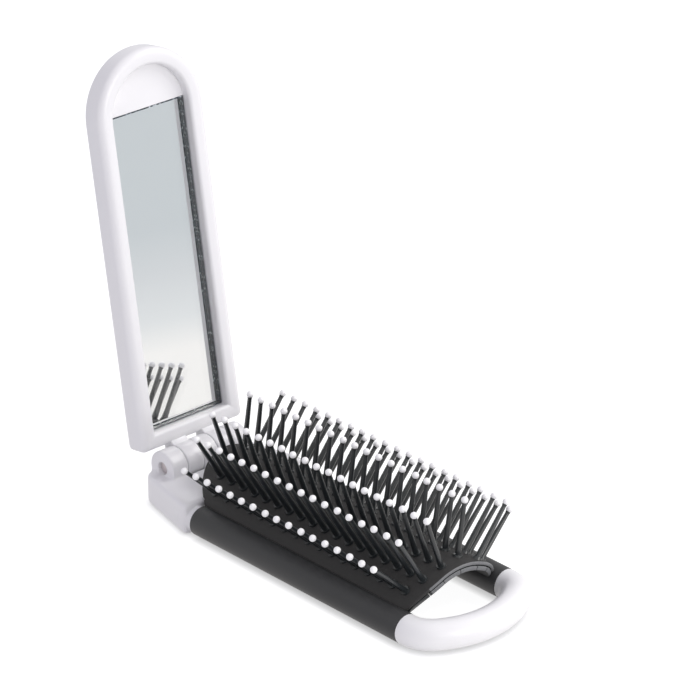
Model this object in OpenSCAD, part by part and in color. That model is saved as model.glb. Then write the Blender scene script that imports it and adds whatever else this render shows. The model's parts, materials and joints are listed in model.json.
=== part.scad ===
// Folding hairbrush with a mirror lid, standing open on its flat rails.
// X runs along the hinge pin, -Y points to the finger loop, +Z is up and the rails stand on Z = 0.
// Units are millimetres. The origin is the bottom centre of the open brush.

/* [Rails and loop] */
// distance between the centre lines of the two rail tubes
rail_span = 32.2; // [24:0.1:44]
// diameter of the rail and loop tube
tube_d = 7.5; // [5:0.1:10]
// how far the loop's centre line bulges past the straight rails
loop_bulge = 9.9; // [8:0.1:16]
// distance from the hinge axis to the place where the loop starts to curve
rail_len = 92.4; // [70:0.1:120]
// diameter of the thin leg that carries each sleeve
leg_d = 4.0; // [2.5:0.1:5]
// distance from the hinge axis to the hinge end of the black sleeves
sleeve_start = 18.7; // [17.5:0.1:24]
// length of white tube between the loop's bends and the black sleeves
sleeve_setback = 0.7; // [0:0.1:6]
// depth of the leg sockets in the hinge block, from the end of the block's collars
socket_depth = 5.2; // [2:0.1:5.6]

/* [Bristle pad] */
// outer radius of the arched pad
pad_r = 17.25; // [14:0.05:24]
// height of the arch centre above the table
pad_cz = -2.3; // [-6:0.1:4]
// thickness of the outer skin
skin_t = 1.0; // [0.6:0.1:2]
// thickness of the bristle carrier strips under the skin
strip_t = 1.2; // [0.8:0.1:2]
// how far the pad reaches past the place where the loop starts to curve
pad_overrun = 0.7; // [0:0.1:2]
// distance from the hinge axis to the crown of the pad's rounded hinge end
pad_start = 9.0; // [7:0.1:16]
// radius of the rounded hinge end, seen from above
pad_nose_r = 16.0; // [15.5:0.1:40]
// half width of the straight stretch of the pad's loop end, seen from above
pad_tail_flat = 6.0; // [4:0.5:14]
// radius of the two corners of the pad's loop end, seen from above
pad_tail_r = 12.0; // [11:0.5:20]

/* [Bristles] */
// spacing of the bristles along a row
pitch = 4.21; // [3:0.01:6]
// spacing in row 5, which has one bristle more than the rows beside it
pitch_5 = 4.13; // [3:0.01:6]
// least distance from the last bristle of a row to the end of the pad
end_margin = 2.1; // [1.8:0.1:4]
// length of a bristle of the two inner rows, from the pad to the ball centre
inner_len = 14.25; // [10:0.05:18]
// length of a bristle of the two middle rows
middle_len = 14.8; // [10:0.05:18]
// length of a bristle of the two outer rows
outer_len = 13.6; // [10:0.05:18]
// diameter of a ball tip
ball_d = 1.75; // [1.4:0.05:3]
// diameter of a bristle at its root
pin_d = 1.4; // [1:0.05:2]
// diameter of a bristle at its tip
pin_tip_d = 1.05; // [0.6:0.05:1.2]
// depth of the blind hole in a ball tip
ball_socket = 0.9; // [0.4:0.1:1]
// angle from vertical, round the arch, of the feet of the two inner rows
inner_angle = 10.7; // [8:0.1:14]
// angle from vertical of the feet of the two middle rows
middle_angle = 29; // [25:0.1:33]
// angle from vertical of the feet of the two outer rows
outer_angle = 43.2; // [40:0.1:46]
// sideways lean of row 1, the left outer row, away from square to the pad; minus leans to the left
lean_1 = -3.9; // [-9:0.1:9]
// sideways lean of row 2
lean_2 = -2.5; // [-9:0.1:9]
// sideways lean of row 3
lean_3 = -8.3; // [-9:0.1:9]
// sideways lean of row 4
lean_4 = -2.2; // [-9:0.1:9]
// sideways lean of row 5
lean_5 = 5.0; // [-9:0.1:9]
// sideways lean of row 6, the right outer row
lean_6 = 0.3; // [-9:0.1:9]
// distance from the hinge axis to the first bristle of row 1
first_1 = 19.5; // [19:0.1:26]
// distance from the hinge axis to the first bristle of row 2
first_2 = 17.5; // [14:0.1:24]
// distance from the hinge axis to the first bristle of row 3
first_3 = 14.0; // [12:0.1:22]
// distance from the hinge axis to the first bristle of row 4
first_4 = 12.9; // [11:0.1:22]
// distance from the hinge axis to the first bristle of row 5
first_5 = 12.4; // [12.4:0.1:24]
// distance from the hinge axis to the first bristle of row 6
first_6 = 20.4; // [19:0.1:26]
// distance from the first bristle of a row to the hinge end of its strip
strip_lead = 1.6; // [0.8:0.1:2]

/* [Hinge] */
// height of the hinge axis above the table
hinge_z = 9.6; // [8:0.1:14]
// radius of the hinge knuckles
knuckle_r = 4.5; // [3.5:0.1:7]
// width of one of the five knuckles
knuckle_w = 4.95; // [3:0.05:8]
// side gap between neighbouring knuckles
knuckle_gap = 0.1; // [0.05:0.05:0.3]
// diameter of the hinge pin
hinge_pin_d = 3.2; // [2:0.1:5]
// radial clearance of the lid knuckles on the pin
pin_clear = 0.05; // [0.02:0.01:0.1]
// how far the pin ends lie below the outer knuckle faces
pin_recess = 1.0; // [0.2:0.1:2]
// clearance around the lid's knuckles and necks in the block's pockets
pocket_gap = 0.4; // [0.2:0.1:1]

/* [Hinge block] */
// height of the deck of the hinge block
deck_z = 8.1; // [7:0.1:12]
// distance from the hinge axis to the rear face of the block
block_rear = 4.2; // [3:0.1:4.3]
// distance from the hinge axis to the rear face of the feet of the block's lugs
lug_rear = 2.5; // [2:0.1:3]
// distance from the hinge axis to the front face of the block
block_front = 17.0; // [12:0.1:22]
// half width of the block at its rear face
block_rear_hw = 14.9; // [13:0.1:19]
// radius of the two rear corners of the block
block_corner = 2.0; // [1:0.1:4]
// bevel along the top edges of the block
block_bevel = 0.8; // [0.3:0.1:1.5]

/* [Lid] */
// lean of the lid behind the upright position
lean = 9.1; // [0:0.1:30]
// width of the lid
lid_w = 32.4; // [24:0.1:44]
// length of the lid from its lower edge to the top of the arch
lid_len = 99.7; // [80:0.1:130]
// gap from the hinge axis to the lower edge of the lid
lid_start = 4.5; // [4.5:0.1:8]
// distance of the mirror plane behind the hinge axis
mirror_n = 4.05; // [2:0.05:8]
// height of the round rim above the mirror
rim_h = 2.7; // [1:0.1:4]
// width of the round rim
rim_w = 4.2; // [3:0.1:6]
// thickness of the lid behind the mirror plane
lid_t = 4.6; // [3.5:0.1:8]
// rounding of the lid's back edge
back_r = 2.1; // [1:0.1:2.1]
// radius of the lid's two lower corners, seen from the front
lid_corner = 1.2; // [0.5:0.1:2]

/* [Mirror] */
// width of the mirror glass
glass_w = 23.7; // [16:0.1:34]
// length of the mirror glass
glass_len = 80.1; // [60:0.1:110]
// thickness of the mirror glass
glass_t = 2.0; // [1:0.1:3]
// thickness of the adhesive sheet behind the glass
tape_t = 0.3; // [0.1:0.1:1]
// gap between the glass and the pocket wall
glass_gap = 0.15; // [0.05:0.05:0.5]

/* [Hidden] */
$fn = 64;
tube_r = tube_d / 2;
rail_x = rail_span / 2;
// how far a cutting shape runs past what it cuts
over = 1;
sleeve_end = rail_len - sleeve_setback;
pad_end = rail_len + pad_overrun;
// rows from left to right: angle of the feet, distance of the first bristle from the hinge axis,
// length to the ball centre, sideways lean and spacing
rows = [[-outer_angle, first_1, outer_len, lean_1, pitch], [-middle_angle, first_2, middle_len, lean_2, pitch],
        [-inner_angle, first_3, inner_len, lean_3, pitch], [inner_angle, first_4, inner_len, lean_4, pitch],
        [middle_angle, first_5, middle_len, lean_5, pitch_5], [outer_angle, first_6, outer_len, lean_6, pitch]];
// angles at which the carrier strips meet, with half of the joint between two strips
inner_edge = (inner_angle + middle_angle) / 2;
middle_edge = (middle_angle + outer_angle) / 2;
outer_edge = outer_angle + 12.3;
strip_edges = [-outer_edge, -middle_edge, -inner_edge, 0, inner_edge, middle_edge, outer_edge];
strip_joint = 0.1;
skin_in = pad_r - skin_t;
// the arch is drawn down to this angle and then cut where it meets the sleeves
pad_edge = 62;
strip_in = skin_in - strip_t;
knuckle_pitch = knuckle_w + knuckle_gap;
knuckle_x0 = -2.5 * knuckle_w - 2 * knuckle_gap;
pin_len = 5 * knuckle_w + 4 * knuckle_gap - 2 * pin_recess;
neck_top = lid_start + rim_w - 2 * over;
pocket_r = knuckle_r + pocket_gap;
sweep_r = norm([lid_start, knuckle_r]) + pocket_gap / 2;
lid_hw = lid_w / 2;
wall_in = lid_hw - rim_w;
lid_back = mirror_n + lid_t;
crest = mirror_n - rim_h;
lid_top = lid_start + lid_len;
arc_u = lid_top - lid_hw;
foot_u = lid_start + rim_w;
glass_u = foot_u + glass_gap;
tape_inset = 4 * glass_gap;
// three arcs that make the flattened end of the loop
corner_r = 7.3;
crown_k = rail_x - corner_r;
crown_r = (crown_k * crown_k + loop_bulge * loop_bulge - corner_r * corner_r)
          / (2 * (loop_bulge - corner_r));
crown_cy = loop_bulge - crown_r;
crown_a = atan2(crown_k, -crown_cy);
front_reach = rail_len + loop_bulge + tube_r;
back_reach = (lid_top - back_r) * sin(lean) + (lid_back - back_r) * cos(lean) + back_r;
hinge_y = (front_reach - back_reach) / 2;

// placement of everything that is measured from the hinge axis over the table
module at_hinge() translate([0, hinge_y, 0]) children();

// placement of everything that is measured in the leaning lid
module in_lid() translate([0, hinge_y, hinge_z]) rotate([-lean, 0, 0]) children();

// cylinder along X from x0, over the length w
module bar_x(x0, w, r) translate([x0, 0, 0]) rotate([0, 90, 0]) cylinder(h = w, r = r);

// cylinder along -Y from the distance d0 to the distance d1
module bar_y(x, z, d0, d1, r) translate([x, -d0, z]) rotate([90, 0, 0]) cylinder(h = d1 - d0, r = r);

// section of the rim: first coordinate outwards from the wall's foot, second towards the brush
module rim_section(shift) translate([shift, 0]) {
    translate([0, -lid_back + back_r]) square([rim_w, lid_back - back_r - crest - rim_w / 2]);
    translate([0, -lid_back]) square([rim_w - back_r, back_r]);
    translate([rim_w - back_r, -lid_back + back_r]) circle(r = back_r);
    translate([rim_w / 2, -crest - rim_w / 2]) circle(r = rim_w / 2);
}

// prism through the lid over an outline seen from the front
module corner_wedge(outline) translate([0, lid_back + over, 0]) rotate([90, 0, 0])
    linear_extrude(height = lid_back + 2 * over) polygon(outline);

// what is taken off a square lower corner of the lid to round it
module corner_shaving() translate([lid_hw - lid_corner, lid_back + over, lid_start + lid_corner])
    rotate([90, 0, 0]) linear_extrude(height = lid_back + 2 * over) difference() {
        translate([0, -lid_corner - over]) square(lid_corner + over);
        circle(r = lid_corner);
    }

module lid_shell() {
    // round top
    translate([0, 0, arc_u]) rotate([90, 0, 0]) rotate_extrude(angle = 180) rim_section(wall_in);
    // straight sides
    for (s = [0, 1]) mirror([s, 0, 0]) difference() {
        translate([0, 0, lid_start]) mirror([0, 1, 0]) linear_extrude(height = arc_u - lid_start)
            rim_section(wall_in);
        corner_wedge([[wall_in, foot_u], [wall_in, lid_start - over], [lid_hw + over, lid_start - over]]);
    }
    // lower bar
    difference() {
        translate([0, 0, foot_u]) mirror([0, 1, 0]) rotate([0, 90, 0])
            linear_extrude(height = lid_w, center = true) rim_section(0);
        for (s = [0, 1]) mirror([s, 0, 0])
            corner_wedge([[wall_in, foot_u], [lid_hw + over, foot_u], [lid_hw + over, lid_start - over]]);
    }
    // floor behind the mirror and the half-round panel above it
    translate([-wall_in, mirror_n, foot_u]) cube([2 * wall_in, lid_t, arc_u - foot_u]);
    intersection() {
        translate([0, mirror_n, arc_u]) rotate([-90, 0, 0]) cylinder(h = lid_t, r = wall_in);
        translate([-lid_hw, 0, arc_u]) cube([lid_w, lid_back, lid_hw]);
    }
}

module mirror_case() color("whitesmoke") in_lid() difference() {
    union() {
        difference() {
            lid_shell();
            for (s = [0, 1]) mirror([s, 0, 0]) corner_shaving();
        }
        for (i = [1, 3]) {
            bar_x(knuckle_x0 + i * knuckle_pitch, knuckle_w, knuckle_r);
            translate([knuckle_x0 + i * knuckle_pitch, 0, 0]) rotate([90, 0, 90])
                linear_extrude(height = knuckle_w)
                    polygon([[0, 0], [knuckle_r, 0], [knuckle_r, neck_top], [crest + rim_w / 4, neck_top],
                             [0, knuckle_r]]);
        }
    }
    bar_x(-lid_hw, lid_w, hinge_pin_d / 2 + pin_clear);
    // pocket of the mirror
    translate([-glass_w / 2 - glass_gap, mirror_n - over, glass_u - glass_gap])
        cube([glass_w + 2 * glass_gap, glass_t + tape_t + over, glass_len + 2 * glass_gap]);
}

module mirror_glass() color("lightsteelblue") in_lid()
    translate([-glass_w / 2, mirror_n, glass_u]) cube([glass_w, glass_t, glass_len]);

module mirror_tape() color("dimgray") in_lid()
    translate([-glass_w / 2 + tape_inset, mirror_n + glass_t, glass_u + tape_inset])
        cube([glass_w - 2 * tape_inset, tape_t, glass_len - 2 * tape_inset]);

module hinge_pin() color("silver") at_hinge() translate([0, 0, hinge_z])
    bar_x(-pin_len / 2, pin_len, hinge_pin_d / 2);

// plan of the hinge block, shrunk by the inset e
module block_plan(e) {
    hw = rail_x + tube_r - e;
    rw = block_rear_hw - e;
    polygon([[-hw, -block_front + e], [hw, -block_front + e], [rw, block_rear - block_corner],
             [rw - block_corner, block_rear - e], [-rw + block_corner, block_rear - e],
             [-rw, block_rear - block_corner]]);
    for (s = [-1, 1]) translate([s * (rw - block_corner), block_rear - block_corner])
        circle(r = block_corner - e);
}

module hinge_block() color("white") at_hinge() difference() {
    union() {
        linear_extrude(height = deck_z - block_bevel) block_plan(0);
        linear_extrude(height = deck_z) block_plan(block_bevel);
        for (i = [0, 2, 4]) {
            x = knuckle_x0 + i * knuckle_pitch;
            translate([0, 0, hinge_z]) bar_x(x, knuckle_w, knuckle_r);
            translate([x, -knuckle_r, 0]) cube([knuckle_w, knuckle_r + lug_rear, hinge_z]);
        }
        for (s = [-1, 1]) bar_y(s * rail_x, tube_r, block_front - over, sleeve_start, tube_r);
    }
    // pin hole
    translate([0, 0, hinge_z]) bar_x(-rail_x, rail_span, hinge_pin_d / 2);
    // pockets for the lid's knuckles and necks
    for (i = [1, 3]) translate([knuckle_x0 + i * knuckle_pitch - knuckle_gap, 0, hinge_z]) {
        bar_x(0, knuckle_w + 2 * knuckle_gap, pocket_r);
        intersection() {
            bar_x(0, knuckle_w + 2 * knuckle_gap, sweep_r);
            translate([0, 0, -sweep_r]) cube([knuckle_w + 2 * knuckle_gap, sweep_r, 2 * sweep_r]);
        }
    }
    // sockets of the frame's legs
    for (s = [-1, 1])
        bar_y(s * rail_x, tube_r, sleeve_start - socket_depth, sleeve_start + over, leg_d / 2);
}

// centre line arcs of the loop: a piece of a torus around a vertical axis
module bend(cx, cy, r, a0, a1) translate([cx, cy, tube_r]) rotate([0, 0, a0])
    rotate_extrude(angle = a1 - a0) translate([r, 0]) circle(r = tube_r);

module loop_frame() color("white") at_hinge() translate([0, -rail_len, 0]) {
    for (s = [-1, 1]) {
        bar_y(s * rail_x, tube_r, sleeve_end - rail_len, 0, tube_r);
        bar_y(s * rail_x, tube_r, sleeve_start - socket_depth - rail_len, 0, leg_d / 2);
    }
    bend(crown_k, 0, corner_r, -90 + crown_a, 0);
    bend(-crown_k, 0, corner_r, 180, 270 - crown_a);
    bend(0, -crown_cy, crown_r, 270 - crown_a, 270 + crown_a);
}

module sleeve(s) color("dimgray") at_hinge() difference() {
    bar_y(s * rail_x, tube_r, sleeve_start, sleeve_end, tube_r);
    bar_y(s * rail_x, tube_r, sleeve_start - over, sleeve_end + over, leg_d / 2);
}
module sleeve_left() sleeve(-1);
module sleeve_right() sleeve(1);

// arch between two radii and two angles from vertical, over the distances d0 to d1
module arch(r0, r1, a0, a1, d0, d1) translate([0, -d0, pad_cz]) rotate([90, 0, 0])
    rotate([0, 0, 90 - a1]) rotate_extrude(angle = a1 - a0) translate([r0, 0]) square([r1 - r0, d1 - d0]);

// rounded hinge end of the pad, seen from above
module pad_nose() linear_extrude(height = pad_r + over) {
    translate([0, -pad_start - pad_nose_r]) circle(r = pad_nose_r);
    translate([-pad_r, -pad_end - over]) square([2 * pad_r, pad_end + over - pad_start - pad_nose_r]);
}

// rounded loop end of the pad, seen from above
module pad_tail() linear_extrude(height = pad_r + over) {
    for (s = [-1, 1]) translate([s * pad_tail_flat, -pad_end + pad_tail_r]) circle(r = pad_tail_r);
    translate([-pad_tail_flat, -pad_end]) square([2 * pad_tail_flat, pad_tail_r]);
    translate([-pad_r, -pad_end + pad_tail_r]) square([2 * pad_r, pad_end - pad_tail_r]);
}

// number of bristles that fit in a row
function count(row) = floor((pad_end - end_margin - row[1]) / row[4]) + 1;

// every bristle of a row: the local origin is its foot on the pad and the local Z axis runs to its tip
module along_row(row) for (k = [0 : count(row) - 1])
    translate([0, -(row[1] + k * row[4]), pad_cz]) rotate([0, row[0], 0])
        translate([0, 0, pad_r]) rotate([0, row[3], 0]) children();

module pad_skin() color("darkslategray") at_hinge() difference() {
    intersection() {
        arch(skin_in, pad_r, -pad_edge, pad_edge, 0, pad_end + over);
        pad_nose();
        pad_tail();
    }
    // the pad's long edges end on the sleeves, its hinge end on the block's deck
    for (s = [-1, 1]) bar_y(s * rail_x, tube_r, 0, pad_end + over, tube_r);
    translate([-pad_r, -block_front, pad_cz]) cube([2 * pad_r, block_front, deck_z - pad_cz]);
    for (row = rows) along_row(row)
        translate([0, 0, -skin_t - over]) cylinder(h = skin_t + 2 * over, d = pin_d, $fn = 6);
}

module bristle_strip(i) color("black") at_hinge() {
    row = rows[i];
    bead_low = row[2] - ball_d / 2;
    intersection() {
        arch(strip_in, skin_in, strip_edges[i] + strip_joint, strip_edges[i + 1] - strip_joint,
             row[1] - strip_lead, pad_end + over);
        pad_nose();
        pad_tail();
    }
    along_row(row) {
        translate([0, 0, -skin_t - strip_t / 4]) cylinder(h = skin_t + strip_t / 4, d = pin_d, $fn = 6);
        cylinder(h = bead_low, d1 = pin_d, d2 = pin_tip_d, $fn = 6);
        translate([0, 0, bead_low]) cylinder(h = ball_socket, d = pin_tip_d, $fn = 6);
    }
}
module bristle_strip_1() bristle_strip(0);
module bristle_strip_2() bristle_strip(1);
module bristle_strip_3() bristle_strip(2);
module bristle_strip_4() bristle_strip(3);
module bristle_strip_5() bristle_strip(4);
module bristle_strip_6() bristle_strip(5);

module tip_row(i) color("snow") at_hinge() along_row(rows[i]) difference() {
    translate([0, 0, rows[i][2]]) sphere(d = ball_d, $fn = 8);
    translate([0, 0, rows[i][2] - ball_d / 2 - over])
        cylinder(h = over + ball_socket, d = pin_tip_d, $fn = 6);
}
module tip_row_1() tip_row(0);
module tip_row_2() tip_row(1);
module tip_row_3() tip_row(2);
module tip_row_4() tip_row(3);
module tip_row_5() tip_row(4);
module tip_row_6() tip_row(5);

mirror_case();
mirror_glass();
mirror_tape();
hinge_pin();
hinge_block();
loop_frame();
sleeve_left();
sleeve_right();
pad_skin();
bristle_strip_1();
bristle_strip_2();
bristle_strip_3();
bristle_strip_4();
bristle_strip_5();
bristle_strip_6();
tip_row_1();
tip_row_2();
tip_row_3();
tip_row_4();
tip_row_5();
tip_row_6();
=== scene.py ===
# %% [markdown]
# # A folding hairbrush with a mirror lid
#
# The brush stands open on a table. A white hinge block carries a leaning lid with a mirror, and two rails
# in black sleeves run out of the block to a white finger loop. An arched black pad with six rows of
# ball-tipped bristles lies between the rails.
#
# The moving model comes first: its solids say where each piece is. Every piece below is made in that same
# frame, in metres, and rides on one of its two bodies, the base or the lid.

import json
import math

import bmesh
import bpy
from mathutils import Matrix, Vector


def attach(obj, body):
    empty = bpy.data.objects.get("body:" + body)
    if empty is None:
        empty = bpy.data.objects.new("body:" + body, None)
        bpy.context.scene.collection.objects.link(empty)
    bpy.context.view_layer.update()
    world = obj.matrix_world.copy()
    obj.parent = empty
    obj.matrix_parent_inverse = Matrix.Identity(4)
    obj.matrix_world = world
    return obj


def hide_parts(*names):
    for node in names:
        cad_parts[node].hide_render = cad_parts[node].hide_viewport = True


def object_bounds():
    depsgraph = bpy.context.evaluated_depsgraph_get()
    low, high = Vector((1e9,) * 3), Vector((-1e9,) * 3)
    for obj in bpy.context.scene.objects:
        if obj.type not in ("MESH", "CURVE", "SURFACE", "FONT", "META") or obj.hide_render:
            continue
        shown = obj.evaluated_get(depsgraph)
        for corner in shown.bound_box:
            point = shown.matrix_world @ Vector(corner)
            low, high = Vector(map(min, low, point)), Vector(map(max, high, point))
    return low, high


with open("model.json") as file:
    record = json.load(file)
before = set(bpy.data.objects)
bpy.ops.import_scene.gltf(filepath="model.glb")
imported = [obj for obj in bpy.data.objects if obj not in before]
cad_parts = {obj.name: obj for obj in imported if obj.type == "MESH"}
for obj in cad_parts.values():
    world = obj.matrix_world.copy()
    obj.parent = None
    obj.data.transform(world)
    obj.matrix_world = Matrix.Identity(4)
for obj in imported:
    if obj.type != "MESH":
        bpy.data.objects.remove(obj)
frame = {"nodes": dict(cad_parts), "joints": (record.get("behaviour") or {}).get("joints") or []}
cad_low, cad_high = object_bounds()
hinge = Vector(frame["joints"][0]["pos_m"])

# %% [markdown]
# ## The view
#
# A long lens from about a metre away keeps the rails nearly parallel. The camera looks down at the brush
# from the left of its loop. The lens is given as its focal length in widths of the picture, and the camera's
# place is measured from the table under the hinge.

# %% Place the camera
MM = 0.001
VIEW_TURN = math.radians(-42.58)
VIEW_DROP = math.radians(25.52)
VIEW_ROLL = math.radians(0.1)
FOCAL_WIDTHS = 5.700714286
CAMERA_PLACE = Vector((-571.3, -677.8, 460.8)) * MM

camera_data = bpy.data.cameras.new("camera")
camera_data.sensor_width = 36
camera_data.lens = camera_data.sensor_width * FOCAL_WIDTHS
camera_data.clip_start, camera_data.clip_end = 0.05, 20
camera = bpy.data.objects.new("camera", camera_data)
camera.rotation_euler = (math.pi / 2 - VIEW_DROP, VIEW_ROLL, VIEW_TURN)
camera.location = CAMERA_PLACE + Vector((0, hinge.y, 0))
bpy.context.scene.collection.objects.link(camera)
bpy.context.scene.camera = camera
print("lens", round(camera_data.lens, 1), "mm")

# %% [markdown]
# ## Sizes
#
# All sizes are written in millimetres, because the brush is small, and are turned into metres when a mesh is
# made. Places along the brush are measured from the hinge axis towards the loop, and heights from the table.
# Only the sizes that several pieces share come here. The others stand with their own piece.

# %% Name the shared sizes
RAIL_X, TUBE_R = 16.1, 3.75
SLEEVE_START, SLEEVE_END = 18.7, 91.7
HINGE_Z = hinge.z / MM
KNUCKLE_R, KNUCKLE_W, KNUCKLE_GAP = 4.5, 4.95, 0.1
KNUCKLE_PITCH = KNUCKLE_W + KNUCKLE_GAP
KNUCKLE_X0 = -2.5 * KNUCKLE_W - 2 * KNUCKLE_GAP
PIN_R = 1.6
DECK_Z, BLOCK_FRONT = 8.1, 17.0
print("rails", 2 * RAIL_X, "mm apart, hinge", round(HINGE_Z, 2), "mm above the table")

# %% [markdown]
# Two helpers turn such places into points. The lid has its own one, which leans the point back with the lid,
# so that the lid can be drawn as if it stood upright.

# %% Points of the base and of the lid
LEAN = math.radians(9.1)


def base_point(x, along, z):
    """A point of the base: along runs from the hinge axis towards the loop."""
    return Vector((x * MM, hinge.y - along * MM, z * MM))


lid_turn = Matrix.Translation(hinge) @ Matrix.Rotation(-LEAN, 4, "X")


def lid_point(x, behind, up):
    """A point of the lid: behind runs away from the brush, up runs along the lid from the hinge."""
    return lid_turn @ Vector((x * MM, behind * MM, up * MM))


print("the lid leans back by", round(math.degrees(LEAN), 1), "degrees")

# %% [markdown]
# ## Turning lists of points into pieces
#
# Most pieces of a moulded brush are a section carried along a path, so one helper joins rings of points
# into a skin. Doubles are merged before the faces are turned outwards. Edges that turn sharply are marked,
# so that the rest can be shaded smooth.

# %% Mesh helpers
MERGE_DISTANCE = 0.002 * MM


def raw_piece(name, points, faces):
    """A mesh of points and faces, not cleaned yet."""
    mesh = bpy.data.meshes.new(name)
    mesh.from_pydata([tuple(p) for p in points], [], faces)
    piece = bpy.data.objects.new(name, mesh)
    bpy.context.scene.collection.objects.link(piece)
    return piece


def cleaned(piece):
    """The piece's mesh as a bmesh with its doubles merged."""
    work = bmesh.new()
    work.from_mesh(piece.data)
    bmesh.ops.remove_doubles(work, verts=work.verts, dist=MERGE_DISTANCE)
    return work


def finish_piece(piece, material, body, stands_for=(), sharp=35):
    """Cleans a piece's mesh, gives it its finish and puts it on its body."""
    work = cleaned(piece)
    bmesh.ops.dissolve_degenerate(work, edges=work.edges, dist=MERGE_DISTANCE / 2)
    bmesh.ops.recalc_face_normals(work, faces=work.faces)
    limit = math.radians(sharp)
    for edge in work.edges:
        edge.smooth = len(edge.link_faces) == 2 and edge.calc_face_angle(0) < limit
    for face in work.faces:
        face.smooth = True
    work.to_mesh(piece.data)
    work.free()
    if material:
        piece.data.materials.clear()
        piece.data.materials.append(material)
    for node in stands_for:
        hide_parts(node)
    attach(piece, body)
    print(piece.name, len(piece.data.polygons), "faces")
    return piece


def make_piece(name, points, faces, material, body, stands_for=(), sharp=35):
    return finish_piece(raw_piece(name, points, faces), material, body, stands_for, sharp)


def applied(piece):
    """Turns a piece's modifiers into its mesh."""
    bpy.context.view_layer.update()
    mesh = bpy.data.meshes.new_from_object(piece.evaluated_get(bpy.context.evaluated_depsgraph_get()))
    piece.modifiers.clear()
    piece.data = mesh
    return piece


def ring_faces(rings, count, closed_path=False, closed_ring=True):
    """Faces between rings of count points each, listed one ring after the other."""
    faces = []
    for i in range(rings if closed_path else rings - 1):
        for j in range(count if closed_ring else count - 1):
            a, b = i * count + j, i * count + (j + 1) % count
            c, d = (i + 1) % rings * count + (j + 1) % count, (i + 1) % rings * count + j
            faces.append((a, b, c, d))
    return faces


def arc(cx, cy, r, start, end, steps):
    """Points on an arc, angles in degrees, both ends included."""
    turns = [math.radians(start + (end - start) * k / steps) for k in range(steps + 1)]
    return [(cx + r * math.cos(t), cy + r * math.sin(t)) for t in turns]


def line(p, q, steps):
    """Points from p to q, both included."""
    return [tuple(a + (b - a) * k / steps for a, b in zip(p, q)) for k in range(steps + 1)]


# %% [markdown]
# ## Node trees as arithmetic
#
# Finishes and generated shapes are both node trees. A `Wire` stands for one output socket, and Python's own
# operators on it add Math nodes, so a formula in the script reads as a formula.

# %% Wires and trees
class Wire:
    """One output of a node tree. Arithmetic on it adds Math nodes."""

    def __init__(self, tree, socket):
        self.tree, self.socket = tree, socket

    def maths(self, operation, *values):
        return self.tree.node("ShaderNodeMath", {"operation": operation}, list(values))

    def __add__(self, other):
        return self.maths("ADD", self, other)

    def __sub__(self, other):
        return self.maths("SUBTRACT", self, other)

    def __mul__(self, other):
        return self.maths("MULTIPLY", self, other)

    def __truediv__(self, other):
        return self.maths("DIVIDE", self, other)

    def __pow__(self, other):
        return self.maths("POWER", self, other)

    def __neg__(self):
        return self.maths("MULTIPLY", self, -1.0)

    def __abs__(self):
        return self.maths("ABSOLUTE", self)

    def __radd__(self, other):
        return self.maths("ADD", other, self)

    def __rsub__(self, other):
        return self.maths("SUBTRACT", other, self)

    def __rmul__(self, other):
        return self.maths("MULTIPLY", other, self)

    def __rtruediv__(self, other):
        return self.maths("DIVIDE", other, self)


class Tree:
    """A node tree, shader or geometry, with one method that adds any node."""

    def __init__(self, tree):
        self.tree = tree
        self.tree.nodes.clear()

    def node(self, kind, settings=None, values=None, out=0):
        """Adds a node: its settings first, then a value, a wire or a list of wires for each input."""
        made = self.tree.nodes.new(kind)
        for key, value in (settings or {}).items():
            if key == "stops":
                ramp = made.color_ramp.elements
                while len(ramp) < len(value):
                    ramp.new(0.5)
                for stop, (place, colour) in zip(ramp, value):
                    stop.position, stop.color = place, colour
            else:
                setattr(made, key, value)
        pairs = values.items() if isinstance(values, dict) else enumerate(values or [])
        for key, value in pairs:
            for one in value if isinstance(value, list) else [value]:
                if isinstance(one, Wire):
                    self.tree.links.new(one.socket, made.inputs[key])
                else:
                    made.inputs[key].default_value = one
        self.last = made
        return Wire(self, made.outputs[out]) if len(made.outputs) else None

    def outputs(self, *names):
        """More outputs of the node that was added last."""
        return [Wire(self, self.last.outputs[n]) for n in names]


# %% [markdown]
# ## Finishes
#
# The brush has five main finishes: polished white plastic, matte black sleeves, the dull elastomer of the
# pad, glossy nylon bristles and chalky white beads. Each one is a Principled shader whose colour, roughness
# and fine relief vary a little over the surface, because no moulding is perfectly even.

# %% A finish from a short recipe
RELIEF_DEPTH = 0.05 * MM
MIX_SHARE, MIX_FIRST, MIX_SECOND, MIX_COLOUR = 0, 6, 7, 2  # places of the colour sockets on a Mix node


def noise(tree, size_mm, detail=3.0):
    """Noise fixed to the object, with features of about size_mm."""
    where = tree.node("ShaderNodeTexCoord", out="Object")
    values = {"Vector": where, "Scale": 1 / (size_mm * MM), "Detail": detail}
    return tree.node("ShaderNodeTexNoise", {}, values)


def mix_colours(tree, share, first, second):
    return tree.node("ShaderNodeMix", {"data_type": "RGBA"},
                     {MIX_SHARE: share, MIX_FIRST: first, MIX_SECOND: second}, out=MIX_COLOUR)


def new_finish(name):
    """An empty material and its tree."""
    material = bpy.data.materials.new(name)
    material.use_nodes = True
    return material, Tree(material.node_tree)


def surfaced(material, tree, values):
    """Ends a finish's tree in a Principled shader with the given inputs."""
    skin = tree.node("ShaderNodeBsdfPrincipled", {}, values)
    tree.node("ShaderNodeOutputMaterial", {}, {"Surface": skin})
    return material


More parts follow.
